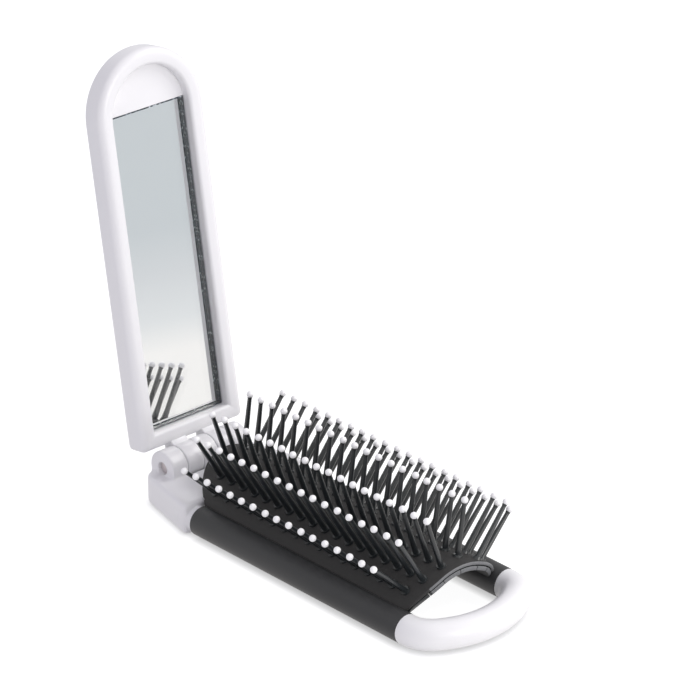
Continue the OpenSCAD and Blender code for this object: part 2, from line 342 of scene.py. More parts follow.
def finish(name, colour, tint, roughness, spread, grain_mm, relief, patch_mm=9.0, **fixed):
    """A finish whose colour drifts to tint in soft patches and whose relief has the given grain."""
    material, tree = new_finish(name)
    patches = noise(tree, patch_mm)
    grain = noise(tree, grain_mm, 4.0)
    shade = mix_colours(tree, patches, (*colour, 1), (*tint, 1))
    rough = roughness + (grain - 0.5) * spread + (patches - 0.5) * spread
    bump = tree.node("ShaderNodeBump", {}, {"Strength": relief, "Distance": RELIEF_DEPTH, "Height": grain})
    values = {"Base Color": shade, "Roughness": rough, "Normal": bump}
    values.update({key.replace("_", " "): value for key, value in fixed.items()})
    return surfaced(material, tree, values)


# %% [markdown]
# The lid and block are cast in a white that is slightly grey and cool. The loop gets a lighter copy of that
# white, which paints in the stronger light that falls on the loop. Nylon shines more than the pad it stands
# on, so it alone of the blacks has a strong coat.

# %% The finishes of the brush
white_plastic = finish("white_plastic", (0.815, 0.812, 0.822), (0.84, 0.838, 0.845), 0.34, 0.06, 0.5, 0.04,
                       Coat_Weight=0.15, Coat_Roughness=0.14, IOR=1.5)
# painted light: a lighter copy of the white plastic for the brightly lit loop
loop_white_painted_light = finish("loop_white_painted_light", (0.86, 0.86, 0.86), (0.89, 0.89, 0.89), 0.34, 0.05, 0.5, 0.03,
                    Coat_Weight=0.15, Coat_Roughness=0.1, IOR=1.5)
black_sleeve = finish("black_sleeve", (0.030, 0.0305, 0.032), (0.039, 0.0395, 0.041), 0.5, 0.08, 0.22, 0.12)
pad_elastomer = finish("pad_elastomer", (0.020, 0.0195, 0.0195), (0.027, 0.0255, 0.025), 0.62, 0.1, 0.3, 0.25)
nylon = finish("nylon", (0.010, 0.0125, 0.014), (0.015, 0.019, 0.022), 0.3, 0.08, 0.35, 0.06,
               Coat_Weight=0.8, Coat_Roughness=0.16)
bead_white = finish("bead_white", (0.955, 0.955, 0.945), (0.985, 0.985, 0.98), 0.4, 0.1, 0.25, 0.15,
                    Coat_Weight=0.3, Coat_Roughness=0.15)
pin_steel = finish("pin_steel", (0.62, 0.56, 0.56), (0.70, 0.65, 0.65), 0.4, 0.12, 0.15, 0.3, Metallic=0.6)
foam_tape = finish("foam_tape", (0.10, 0.10, 0.105), (0.14, 0.14, 0.145), 0.8, 0.1, 0.2, 0.4)
# painted light: a paler grey for the lamp light that the pad's loop end catches
painted_end_light = finish("painted_end_light", (0.12, 0.125, 0.13), (0.21, 0.215, 0.22), 0.45, 0.1, 0.25, 0.5, patch_mm=0.9)
for made in (white_plastic, loop_white_painted_light, black_sleeve, pad_elastomer, nylon, bead_white, pin_steel, foam_tape):
    print("finish", made.name, "of", len(made.node_tree.nodes), "nodes")

# %% [markdown]
# The mirror is a sheet of glass with silver behind it. The glass is clear, so the cut edge and the dark gap
# round it show through its face as thin bands, which a plain chrome plate would not have. Its cut edge is
# ground, and small pale glints are painted into its colour as painted highlights.

# %% Finishes of the mirror
def clear_glass_finish():
    return surfaced(*new_finish("glass_clear"), {
        "Base Color": (0.99, 0.995, 0.993, 1), "Roughness": 0.0, "Transmission Weight": 1.0, "IOR": 1.5})


def silver_finish():
    """Silvering with the faintest cloudiness."""
    material, tree = new_finish("silvering")
    cloud = noise(tree, 14.0, 2.0)
    shade = mix_colours(tree, cloud, (0.94, 0.945, 0.95, 1), (0.955, 0.96, 0.965, 1))
    return surfaced(material, tree, {"Base Color": shade, "Metallic": 1.0, "Roughness": 0.015 + cloud * 0.02})


def ground_edge_glint_finish():
    """The ground edge of the glass: dark slate with pale glints painted in as painted highlights."""
    material, tree = new_finish("ground_edge_with_painted_glints")
    painted_glint_speck = noise(tree, 0.8, 5.0)
    # painted highlights: the pale last stop of the ramp paints glints into the edge's colour
    shade = tree.node("ShaderNodeValToRGB",
                      {"stops": [(0.45, (0.03, 0.04, 0.055, 1)), (0.6, (0.10, 0.13, 0.155, 1)),
                                 (0.68, (0.75, 0.82, 0.85, 1))]}, {"Fac": painted_glint_speck})
    return surfaced(material, tree, {"Base Color": shade, "Roughness": 0.2 + painted_glint_speck * 0.3})


glass_clear, silvering, ground_edge_with_painted_glints = clear_glass_finish(), silver_finish(), ground_edge_glint_finish()
print("mirror:", glass_clear.name, silvering.name, ground_edge_with_painted_glints.name)

# %% [markdown]
# ## The lid shell
#
# The lid is a flat tub with a round rim, arched at the top and square at the bottom. One section, from the
# pocket floor over the rim and down to the back, is carried round the foot of the rim's inner wall. At the
# two lower corners the section turns on the spot, and its outer side is drawn out to a small corner radius.
#
# In the names, n is a depth behind the hinge axis and u a height along the lid.

# %% The lid's sizes
LID_HW, LID_START, LID_LEN, LID_CORNER = 16.2, 4.5, 99.7, 1.2
MIRROR_N, LID_T, BACK_R = 4.05, 4.6, 2.1
RIM_H, RIM_W = 2.7, 4.2
CREST_IN_R, CREST_OUT_R, CREST_DOME = 0.95, 1.9, 0.12
GLASS_W, GLASS_LEN, GLASS_T = 23.7, 80.1, 2.0
GLASS_GAP, TAPE_T = 0.15, 0.3

FOOT_U = LID_START + RIM_W
ARC_U = LID_START + LID_LEN - LID_HW
WALL_IN = LID_HW - RIM_W
CREST_N = MIRROR_N - RIM_H
POCKET_N = MIRROR_N + GLASS_T + TAPE_T
print("lid top at", round(LID_START + LID_LEN, 1), "mm from the hinge")


# %% Carry the rim's section round the lid
def lid_path():
    """Places on the foot of the rim, each with its outward direction and its side of a corner."""
    path = []
    for cx, cy, radius, corner, start, end, steps in (
            (WALL_IN, FOOT_U, 0, 1, -90, 0, 10),
            (0, ARC_U, WALL_IN, 0, 0, 180, 72),
            (-WALL_IN, FOOT_U, 0, -1, 180, 270, 10)):
        for k in range(steps + 1):
            t = math.radians(start + (end - start) * k / steps)
            nx, nu = math.cos(t), math.sin(t)
            path.append((cx + radius * nx, cy + radius * nu, nx, nu, corner))
    return path


FOOT_TURN_R = 0.1


def rim_place(place, out):
    """The point of the lid's plan at a distance outwards from a place on the path."""
    x, u, nx, nu, corner = place
    if not corner:
        return x + nx * out, u + nu * out
    turn_r = FOOT_TURN_R + (LID_CORNER - FOOT_TURN_R) * out / RIM_W
    straight = out - turn_r
    return x + corner * straight + nx * turn_r, u - straight + nu * turn_r


rim = [(0, POCKET_N)]
rim += arc(CREST_IN_R, CREST_N + CREST_DOME + CREST_IN_R, CREST_IN_R, 180, 262, 9)
rim += [(1.6, CREST_N + CREST_DOME * 0.3), (2.1, CREST_N)]
rim += arc(RIM_W - CREST_OUT_R, CREST_N + CREST_OUT_R, CREST_OUT_R, 274, 360, 12)
rim += arc(RIM_W - BACK_R, MIRROR_N + LID_T - BACK_R, BACK_R, 0, 90, 8)
path = lid_path()
shell_points = []
for place in path:
    for out, behind in rim:
        x, u = rim_place(place, out)
        shell_points.append(lid_point(x, behind, u))
shell_faces = ring_faces(len(path), len(rim), closed_path=True, closed_ring=False)
shell_faces.append([i * len(rim) for i in range(len(path))])
shell_faces.append([i * len(rim) + len(rim) - 1 for i in range(len(path))])
make_piece("lid_shell", shell_points, shell_faces, white_plastic, "lid", ["mirror_case"])

# %% [markdown]
# Above the mirror the tub has a half-round panel that lies level with the glass. It is made as a slab of its
# own, sunk a little into the pocket's floor, because its straight foot has to end in a crisp edge.

# %% The panel above the mirror
def slab(outline, front, back, edge):
    """A plate in the lid with a small round edge: outline is (x, up), front and back are depths."""
    middle = (sum(p[0] for p in outline) / len(outline), sum(p[1] for p in outline) / len(outline))
    rings = []
    for inset, depth in ((edge, front), (edge * 0.3, front + edge * 0.3), (0, front + edge), (0, back)):
        ring = []
        for x, u in outline:
            away = Vector((x - middle[0], u - middle[1]))
            away = away * (1 - inset / max(away.length, 1e-6))
            ring.append(lid_point(middle[0] + away.x, depth, middle[1] + away.y))
        rings.append(ring)
    points = [p for ring in rings for p in ring]
    n = len(outline)
    faces = ring_faces(4, n) + [list(range(n)), list(range(3 * n, 4 * n))]
    return points, faces


GLASS_U = FOOT_U + GLASS_GAP
PANEL_FOOT = GLASS_U + GLASS_LEN + GLASS_GAP
PANEL_FIT, PANEL_SUNK, PANEL_EDGE = 0.02, 0.2, 0.08
panel_start = math.degrees(math.asin((PANEL_FOOT - ARC_U) / WALL_IN))
panel = arc(0, ARC_U, WALL_IN + PANEL_FIT, panel_start, 180 - panel_start, 48)
make_piece("lid_panel", *slab(panel, MIRROR_N, POCKET_N + PANEL_SUNK, PANEL_EDGE), white_plastic, "lid")

# %% [markdown]
# ## The lid's knuckles
#
# Two knuckles hang from the lid on short necks. Seen along the pin each one is a disc that runs up into the
# lid, so it is drawn as one outline, given its width, and its edges are rounded with a bevel. Of the five
# knuckles on the pin, the lid's are the second and the fourth.

# %% Knuckles on their necks
NECK_TOP, KNUCKLE_EDGE = 7.0, 0.3


def rounded(piece, width_mm, steps, limit):
    """Rounds every edge of a closed mesh that turns by more than the limit in degrees."""
    work = cleaned(piece)
    bmesh.ops.recalc_face_normals(work, faces=work.faces)
    work.to_mesh(piece.data)
    work.free()
    bevel = piece.modifiers.new("soft_edges", "BEVEL")
    bevel.width, bevel.segments = width_mm * MM, steps
    bevel.limit_method, bevel.angle_limit = "ANGLE", math.radians(limit)
    return applied(piece)


knuckle = [(KNUCKLE_R, NECK_TOP)] + arc(0, 0, KNUCKLE_R, 0, -278, 56)
knuckle += [(1.2, 4.9), (1.9, 5.6), (2.3, 6.3), (2.45, NECK_TOP)]
n = len(knuckle)
knuckle_faces = ring_faces(2, n) + [list(range(n)), list(range(n, 2 * n))]
for k in (1, 3):
    x0 = KNUCKLE_X0 + k * KNUCKLE_PITCH
    rings = [[lid_point(x, behind, u) for behind, u in knuckle] for x in (x0, x0 + KNUCKLE_W)]
    piece = raw_piece(f"lid_knuckle_{k}", rings[0] + rings[1], knuckle_faces)
    finish_piece(rounded(piece, KNUCKLE_EDGE, steps=3, limit=50), white_plastic, "lid")

# %% [markdown]
# ## The mirror
#
# Glass, silvering and adhesive sheet lie on each other in the pocket. The glass is one clear block with a
# small bevel round its face and ground sides. The faces that look sideways get the ground finish with its
# painted glints, which is told from their normals. The sheet is hidden, so the plain solid of the moving
# model stays and only gets a better finish.

# %% Glass, silvering and tape
GLASS_BEVEL, SILVER_T, SILVER_GAP = 0.2, 0.04, 0.02
glass_box = [(-GLASS_W / 2, GLASS_U), (GLASS_W / 2, GLASS_U),
             (GLASS_W / 2, GLASS_U + GLASS_LEN), (-GLASS_W / 2, GLASS_U + GLASS_LEN)]


def glass_piece():
    back = MIRROR_N + GLASS_T - SILVER_T - SILVER_GAP
    points = []
    for inset, depth in ((GLASS_BEVEL, MIRROR_N), (0, MIRROR_N + GLASS_BEVEL), (0, back)):
        for x, u in glass_box:
            inwards = inset if u < ARC_U / 2 else -inset
            points.append(lid_point(x - math.copysign(inset, x), depth, u + inwards))
    faces = ring_faces(3, 4) + [[0, 1, 2, 3], [8, 9, 10, 11]]
    glass = make_piece("mirror_pane", points, faces, glass_clear, "lid", ["mirror_glass"], sharp=20)
    glass.data.materials.append(ground_edge_with_painted_glints)
    normal_back = (lid_turn.to_3x3() @ Vector((0, 1, 0))).normalized()
    for face in glass.data.polygons:
        face.use_smooth = False
        if abs(face.normal.dot(normal_back)) < 0.9:
            face.material_index = 1
    return glass


glass_piece()
silver = [lid_point(x, MIRROR_N + GLASS_T - SILVER_T, u) for x, u in glass_box]
silver += [lid_point(x, MIRROR_N + GLASS_T, u) for x, u in glass_box]
silver_faces = ring_faces(2, 4) + [[0, 1, 2, 3], [4, 5, 6, 7]]
make_piece("mirror_silver", silver, silver_faces, silvering, "lid", sharp=20)
frame["nodes"]["mirror_tape"].material_slots[0].material = foam_tape

# %% [markdown]
# ## Round bars and tubes
#
# The loop, the sleeves and the hinge pin are all circles carried along a line. A small round at each end
# leaves the fine seam that shows where two tubes meet.

# %% A circle carried along a line
END_RINGS = 5


def tube(path, radius, end_round, steps=48):
    """A closed tube along level points in metres, with rounded ends. Its lengths are in millimetres."""
    turns = [math.pi / 2 * k / (END_RINGS - 1) for k in range(END_RINGS)]
    ends = [(end_round * (1 - math.cos(t)), radius - end_round * (1 - math.sin(t))) for t in turns]
    first_way = (path[1] - path[0]).normalized()
    last_way = (path[-1] - path[-2]).normalized()
    rings = [(path[0] + first_way * back * MM, r) for back, r in ends]
    rings += [(p, radius) for p in path[1:-1]]
    rings += [(path[-1] - last_way * back * MM, r) for back, r in reversed(ends)]
    points = []
    for i, (centre, r) in enumerate(rings):
        if i < END_RINGS:
            way = first_way
        elif i >= len(rings) - END_RINGS:
            way = last_way
        else:
            way = rings[i + 1][0] - rings[i - 1][0]
        side = Vector((0, 0, 1)).cross(way).normalized()
        up = way.normalized().cross(side)
        for k in range(steps):
            t = 2 * math.pi * k / steps
            points.append(centre + (side * math.cos(t) + up * math.sin(t)) * r * MM)
    faces = ring_faces(len(rings), steps)
    faces += [list(range(steps)), list(range(len(points) - steps, len(points)))]
    return points, faces


# %% [markdown]
# ## The finger loop
#
# The loop's end is flatter than a half circle: two tight corners joined by a wide crown. The crown's radius
# follows from the corner radius and the bulge, because the arcs meet without a kink. Drawing the line as arcs
# keeps it even, which a spline through a few points would not.

# %% The loop
RAIL_LEN, LOOP_BULGE, LOOP_CORNER_R = 92.4, 9.9, 7.3
crown_k = RAIL_X - LOOP_CORNER_R
crown_r = (crown_k ** 2 + LOOP_BULGE ** 2 - LOOP_CORNER_R ** 2) / (2 * (LOOP_BULGE - LOOP_CORNER_R))
crown_back = crown_r - LOOP_BULGE
crown_turn = math.degrees(math.atan2(crown_k, crown_back))
loop = line((RAIL_X, SLEEVE_END - RAIL_LEN), (RAIL_X, 0), 2)[:-1]
loop += arc(crown_k, 0, LOOP_CORNER_R, 0, 90 - crown_turn, 20)
loop += arc(0, -crown_back, crown_r, 90 - crown_turn, 90 + crown_turn, 40)[1:-1]
loop += arc(-crown_k, 0, LOOP_CORNER_R, 90 + crown_turn, 180, 20)
loop += line((-RAIL_X, 0), (-RAIL_X, SLEEVE_END - RAIL_LEN), 2)[1:]
loop_points = [base_point(x, RAIL_LEN + d, TUBE_R) for x, d in loop]
make_piece("finger_loop", *tube(loop_points, TUBE_R, end_round=0.18), loop_white_painted_light, "base", ["loop_frame"])

# %% [markdown]
# The sleeves are black tubes pushed over the legs of the loop. Nothing of their bore shows between the block
# and the loop, so they are closed here and only their rounded ends are seen.

# %% The sleeves
sleeve_middle = (SLEEVE_START + SLEEVE_END) / 2
for side, word in ((-1, "left"), (1, "right")):
    ends = [base_point(side * RAIL_X, d, TUBE_R) for d in (SLEEVE_START, sleeve_middle, SLEEVE_END)]
    sleeve = tube(ends, TUBE_R, end_round=0.22, steps=64)
    make_piece(f"rail_sleeve_{word}", *sleeve, black_sleeve, "base", [f"sleeve_{word}"])

# %% [markdown]
# The pin is a cut piece of steel rod whose ends lie a little inside the outer knuckles.

# %% The hinge pin
PIN_RECESS = 1.0
pin_half = -KNUCKLE_X0 - PIN_RECESS
pin_ends = [Vector((x * MM, hinge.y, hinge.z)) for x in (-pin_half, 0, pin_half)]
make_piece("pin", *tube(pin_ends, PIN_R, end_round=0.2, steps=32), pin_steel, "base", ["hinge_pin"])

# %% [markdown]
# ## Generated shapes
#
# The hinge block and the bristles are made by geometry trees. Each tree has named inputs, so that its sizes
# can be tried out in Blender too, and its result is kept here as a plain mesh.

# %% Run a geometry tree
def generated(name, tree_builder, inputs):
    """Runs a geometry tree with named inputs and returns the plain mesh that it makes."""
    group = bpy.data.node_groups.new(name, "GeometryNodeTree")
    group.interface.new_socket(name="Geometry", in_out="OUTPUT", socket_type="NodeSocketGeometry")
    ids = {}
    for label, value in inputs.items():
        kind = "NodeSocketMaterial" if isinstance(value, bpy.types.Material) else "NodeSocketFloat"
        item = group.interface.new_socket(name=label, in_out="INPUT", socket_type=kind)
        item.default_value = value
        ids[label] = item.identifier
    tree = Tree(group)
    tree.node("NodeGroupInput")
    given = dict(zip(inputs, tree.outputs(*range(len(inputs)))))
    result = tree_builder(tree, given)
    tree.node("NodeGroupOutput", {}, {"Geometry": result})
    made = bpy.data.objects.new(name, bpy.data.meshes.new(name))
    bpy.context.scene.collection.objects.link(made)
    modifier = made.modifiers.new(name, "NODES")
    modifier.node_group = group
    for label, value in inputs.items():
        modifier[ids[label]] = value
    return applied(made)


# %% [markdown]
# ## The hinge block
#
# The block is one moulding whose parts flow into each other: a tapered slab, two collars that take the
# rails, and three lugs that hold the pin. Soft joins like these are hard to bevel, so the block is written
# as a distance formula. Each part is a distance to a simple shape, below zero inside it and above zero
# outside. The larger of two distances is what both shapes share, the smaller one is both together, and the
# surface is drawn where the distance is zero.

# %% Join distances
def length(first, second):
    """The distance from an axis, from the two distances across it."""
    squares = first ** 2 + second ** 2
    return squares.maths("SQRT", squares)


def larger(*values):
    result = values[0]
    for value in values[1:]:
        result = result.maths("MAXIMUM", result, value)
    return result


def smaller(first, second):
    return first.maths("MINIMUM", first, second)


def blend_out(first, second, soft):
    """The space inside both shapes, with a rounded edge."""
    return first.maths("SMOOTH_MAX", first, second, soft)


def blend_in(first, second, soft):
    """The space inside either shape, with a fillet between them."""
    return first.maths("SMOOTH_MIN", first, second, soft)


# %% [markdown]
# The slab comes first, then the collars and the lugs. Last come the cuts: the room that the lid's knuckles
# turn in, the hole of the pin and the flat underside. Both sides are alike, so x is taken without its sign.

# %% The hinge block
BLOCK_REAR, BLOCK_REAR_HW, LUG_REAR = 4.2, 14.9, 2.5
COLLAR_EDGE, COLLAR_SUNK = 0.5, 4
POCKET_GAP, SWEEP_R = 0.4, 6.6
ROOM_EDGE, HOLE_EDGE, BASE_EDGE = 0.35, 0.3, 0.4
VOXEL = 0.2
SPACE_ACROSS, SPACE_UP = 0.8, 0.6


def block_tree(tree, given):
    where = tree.node("GeometryNodeInputPosition")
    tree.node("ShaderNodeSeparateXYZ", {}, [where])
    x, y, z = tree.outputs("X", "Y", "Z")
    x, y, z = abs(x / MM), (y - hinge.y) / MM, z / MM
    edge, fillet = given["Edge round"], given["Fillet"]
    taper = (RAIL_X + TUBE_R - BLOCK_REAR_HW) / (BLOCK_FRONT + BLOCK_REAR)
    side = (x - BLOCK_REAR_HW + (y - BLOCK_REAR) * taper) / math.hypot(1, taper)
    slab_plan = blend_out(side, y - BLOCK_REAR, given["Corner round"])
    slab_plan = blend_out(slab_plan, -BLOCK_FRONT - y, given["Front round"])
    block = blend_out(blend_out(slab_plan, z - given["Deck height"], edge), -z, given["Foot round"])
    # collars round the ends of the rails
    collar = length(x - RAIL_X, z - TUBE_R) - TUBE_R + given["Collar step"]
    collar = blend_out(collar, -SLEEVE_START - y, COLLAR_EDGE)
    collar = blend_out(collar, y + BLOCK_FRONT - COLLAR_SUNK, COLLAR_EDGE)
    block = blend_in(block, collar, fillet)
    # lugs that carry the pin
    from_pin = length(y, z - HINGE_Z)
    round_part = from_pin - KNUCKLE_R
    lug_side = smaller(round_part, larger(-y - KNUCKLE_R, y - LUG_REAR, z - HINGE_Z))
    middle_lug, outer_lug = [
        blend_out(lug_side, abs(x - centre) - KNUCKLE_W / 2, given["Lug round"])
        for centre in (0, 2 * KNUCKLE_PITCH)]
    block = blend_in(block, smaller(middle_lug, outer_lug), given["Lug fillet"])
    # room for the lid's knuckles and necks, and the hole of the pin
    room = smaller(round_part - POCKET_GAP, larger(from_pin - SWEEP_R, -y))
    room = larger(room, abs(x - KNUCKLE_PITCH) - KNUCKLE_W / 2 - KNUCKLE_GAP)
    block = blend_out(block, -room, ROOM_EDGE)
    block = blend_out(block, given["Pin hole"] - from_pin, HOLE_EDGE)
    block = blend_out(block, -z, BASE_EDGE)
    low = Vector((-RAIL_X - TUBE_R - SPACE_ACROSS, -SLEEVE_START - SPACE_ACROSS, -SPACE_UP))
    high = Vector((RAIL_X + TUBE_R + SPACE_ACROSS, BLOCK_REAR + SPACE_ACROSS, HINGE_Z + KNUCKLE_R + SPACE_UP))
    cells = [int((b - a) / VOXEL) for a, b in zip(low, high)]
    shift = Vector((0, hinge.y, 0))
    cloud = tree.node("GeometryNodeVolumeCube", {}, {
        "Density": -block, "Background": -1.0, "Min": low * MM + shift, "Max": high * MM + shift,
        "Resolution X": cells[0], "Resolution Y": cells[1], "Resolution Z": cells[2]})
    mesh = tree.node("GeometryNodeVolumeToMesh", {}, {"Volume": cloud, "Threshold": 0.0, "Adaptivity": 0.01})
    mesh = tree.node("GeometryNodeSetShadeSmooth", {}, {"Geometry": mesh})
    return tree.node("GeometryNodeSetMaterial", {}, {"Geometry": mesh, "Material": given["Material"]})


block = generated("hinge_block_body", block_tree, {
    "Deck height": DECK_Z, "Edge round": 2.2, "Corner round": 4.4, "Front round": 2.6, "Foot round": 1.8,
    "Collar step": 0.5, "Fillet": 0.35, "Lug round": 0.9, "Lug fillet": 1.0, "Pin hole": PIN_R + 0.05,
    "Material": white_plastic})
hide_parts("hinge_block")
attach(block, "base")
print("hinge block", len(block.data.polygons), "faces")

# %% [markdown]
# ## The pad
#
# The pad is a springy arch, thin enough to be pushed through. Seen from above, its hinge end is round and its
# loop end is straight with two round corners.

# %% The ends of the pad
PAD_R, PAD_CZ = 17.25, -2.3
PAD_START, PAD_NOSE_R = 9.0, 16.0
PAD_END, PAD_TAIL_FLAT, PAD_TAIL_R = 93.1, 6.0, 12.0


def pad_lip(across):
    """How far from the hinge axis the rounded end of the pad lies, at a distance across from its middle."""
    return PAD_START + PAD_NOSE_R - math.sqrt(PAD_NOSE_R ** 2 - across ** 2)


def pad_tail(across):
    """The same for the pad's loop end, which is straight in the middle and has two round corners."""
    past = max(0, abs(across) - PAD_TAIL_FLAT)
    return PAD_END - PAD_TAIL_R + math.sqrt(PAD_TAIL_R ** 2 - past ** 2)


print("the pad runs from", PAD_START, "to", PAD_END, "mm from the hinge axis")

# %% [markdown]
# The skin and the carrier strips under it are sections with rounded lips, carried round the arch. Each
# section starts and ends where its own angle meets the curves of the pad's ends. Between two angles of the
# arch, the faces of the cut end towards the loop get a paler grey finish: painted light for the lamp light
# that end catches.

# %% Arches with rounded lips
# angles and depth of the painted light on the pad's loop end
END_LIGHT_FROM, END_LIGHT_TO, END_LIGHT_DEPTH = -34, 55, 6


def paint_end_light(piece):
    """Paints light on the faces that look out of the pad's loop end: a paler grey finish, between two angles
    of the arch.
    """
    piece.data.materials.append(painted_end_light)
    for face in piece.data.polygons:
        turned = math.degrees(math.atan2(face.center.x, face.center.z - PAD_CZ * MM))
        at_end = face.center.y < hinge.y - (PAD_END - END_LIGHT_DEPTH) * MM
        if face.normal.y < -0.5 and at_end and END_LIGHT_FROM < turned < END_LIGHT_TO:
            face.material_index = 1


def arched(name, r0, r1, a0, a1, start_at, lip, steps, material, stands_for):
    """A shell between two radii and two angles; start_at gives its hinge end for an angle."""
    rings = []
    for k in range(steps + 1):
        a = a0 + (a1 - a0) * k / steps
        t = math.radians(a)
        d0, d1 = start_at(a), pad_tail(PAD_R * math.sin(t))
        ring = line((r1, d0 + lip), (r1, d1 - lip), 10)
        ring += arc(r1 - lip, d1 - lip, lip, 0, 90, 4)[1:]
        ring += arc(r0 + lip, d1 - lip, lip, 90, 180, 4)
        ring += line((r0, d1 - lip), (r0, d0 + lip), 10)[1:]
        ring += arc(r0 + lip, d0 + lip, lip, 180, 270, 4)[1:]
        ring += arc(r1 - lip, d0 + lip, lip, 270, 360, 4)[:-1]
        rings.append([base_point(r * math.sin(t), d, PAD_CZ + r * math.cos(t)) for r, d in ring])
    n = len(rings[0])
    points = [p for ring in rings for p in ring]
    faces = ring_faces(len(rings), n) + [list(range(n)), list(range(len(points) - n, len(points)))]
    paint_end_light(make_piece(name, points, faces, material, "base", stands_for))


# %% [markdown]
# The skin is the top layer. Low on its sides it has to stop short of the hinge block, and over the block's
# deck it may run on.

# %% The skin
SKIN_T, SKIN_CLEAR, PAD_EDGE = 1.0, 0.2, 60.0
LAYER_GAP = 0.12


def skin_start(angle):
    """The skin's hinge end: the rounded curve, but never over the block below its deck."""
    turn = math.radians(angle)
    across = min(PAD_R * abs(math.sin(turn)), PAD_NOSE_R - 0.1)
    start = pad_lip(across)
    below_deck = PAD_CZ + PAD_R * math.cos(turn) < DECK_Z + SKIN_CLEAR
    return max(start, BLOCK_FRONT + SKIN_CLEAR) if below_deck else start


arched("pad_arch", PAD_R - SKIN_T + LAYER_GAP, PAD_R, -PAD_EDGE, PAD_EDGE, skin_start,
       lip=0.3, steps=96, material=pad_elastomer, stands_for=["pad_skin"])

# %% [markdown]
# ## The bristles
#
# A moulded strip carries each row. The rows stand on the arch at six angles, lean a little differently, and
# each starts at its own distance from the hinge, so that neighbouring rows are staggered.

# %% The rows
PITCH, PITCH_5, END_MARGIN = 4.21, 4.13, 2.1
INNER, MIDDLE, OUTER = 10.7, 29.0, 43.2
FEET = (-OUTER, -MIDDLE, -INNER, INNER, 25.5, OUTER)
FIRSTS = (19.5, 17.5, 14.0, 12.9, 12.4, 20.4)
LENGTHS = (13.6, 14.8, 14.25, 14.25, 14.97, 13.6)
LEANS = (-3.9, -2.5, -8.3, -2.2, 12.5, 0.3)
SPACINGS = (PITCH, PITCH, PITCH, PITCH, PITCH_5, PITCH)
ROWS = list(zip(FEET, FIRSTS, LENGTHS, LEANS, SPACINGS))
STRIPS = [f"bristle_strip_{k + 1}" for k in range(len(ROWS))]
TIPS = [f"tip_row_{k + 1}" for k in range(len(ROWS))]


def count(first, spacing):
    """How many bristles fit in a row between its first place and the pad's end."""
    return int((PAD_END - END_MARGIN - first) / spacing + 0.001) + 1


print("bristles per row:", [count(first, spacing) for foot, first, tall, lean, spacing in ROWS])

# %% [markdown]
# The strips lie under the skin with fine gaps between them. Only their ends show, under the skin's lip.

# %% The carrier strips
STRIP_T, STRIP_LEAD, STRIP_GAP, STRIP_DROP = 1.2, 1.6, 0.35, 0.08
PAST_OUTER = 15.0
edges = [-OUTER - PAST_OUTER, -(MIDDLE + OUTER) / 2, -(INNER + MIDDLE) / 2, 0]
edges += [-e for e in reversed(edges[:-1])]
for k, (foot, first, tall, lean, spacing) in enumerate(ROWS):
    arched(f"carrier_{k + 1}", PAD_R - SKIN_T - STRIP_T, PAD_R - SKIN_T - STRIP_DROP,
           edges[k] + STRIP_GAP, edges[k + 1] - STRIP_GAP,
           lambda a, first=first: max(first - STRIP_LEAD, skin_start(a)),
           lip=0.22, steps=14, material=nylon, stands_for=[STRIPS[k]])

# %% [markdown]
# Pins and beads are copied by Geometry Nodes. It lays a line of feet along each row, turns an item to the
# row's own lean and puts a copy on every foot. A small seeded tilt keeps the rows from looking
# machine-perfect, and it is the same for a pin and its bead.

# %% Copies on every foot
FIRST_SEED = 11


def joined(tree, parts):
    return tree.node("GeometryNodeJoinGeometry", {}, {"Geometry": parts})


def along_rows(tree, item_of, tilt):
    """Copies of an item on the foot of every bristle. Its Z axis runs along the bristle."""
    parts = []
    items = {tall: item_of(tall) for tall in LENGTHS}
    for k, (foot, first, tall, lean, spacing) in enumerate(ROWS):
        round_arch, way = math.radians(foot), math.radians(foot + lean)
        start = base_point(PAD_R * math.sin(round_arch), first, PAD_CZ + PAD_R * math.cos(round_arch))
        points = tree.node("GeometryNodeMeshLine", {}, {
            "Count": count(first, spacing), "Offset": Vector((0, -spacing * MM, 0)), "Start Location": start})
        least = tree.node("ShaderNodeCombineXYZ", {}, [-tilt, way - tilt, 0.0])
        most = tree.node("ShaderNodeCombineXYZ", {}, [tilt, way + tilt, 0.0])
        turn = tree.node("FunctionNodeRandomValue", {"data_type": "FLOAT_VECTOR"},
                         {"Min": least, "Max": most, "Seed": FIRST_SEED + k})
        turn = tree.node("FunctionNodeEulerToRotation", {}, [turn])
        parts.append(tree.node("GeometryNodeInstanceOnPoints", {},
                               {"Points": points, "Instance": items[tall], "Rotation": turn}))
    return tree.node("GeometryNodeRealizeInstances", {}, {"Geometry": joined(tree, parts)})


def moved(tree, shape, height):
    place = tree.node("ShaderNodeCombineXYZ", {}, [0.0, 0.0, height * MM])
    return tree.node("GeometryNodeTransform", {}, {"Geometry": shape, "Translation": place})


def cone(tree, low, high, r_low, r_high):
    """A cone between two heights above the foot, in millimetres."""
    made = tree.node("GeometryNodeMeshCone", {}, {
        "Vertices": 14, "Radius Top": r_high * MM, "Radius Bottom": r_low * MM, "Depth": (high - low) * MM})
    return moved(tree, made, low)


# %% [markdown]
# One pin is a slim cone that stands in a low ring on the pad and opens into a small cup under its bead. The
# bead is a plain ball, and a row's length is measured from the foot to the middle of the bead.

# %% Pins and beads
BEAD_R = 0.87
PIN_ROOT_R, PIN_TIP_R = 0.76, 0.53
FOOT_SUNK, RING_H, RING_LOW, RING_HIGH = 0.5, 0.5, 1.75, 1.45
CUP_H, CUP_SUNK, CUP_LAP, CUP_FLARE = 0.35, 0.62, 0.1, 1.2


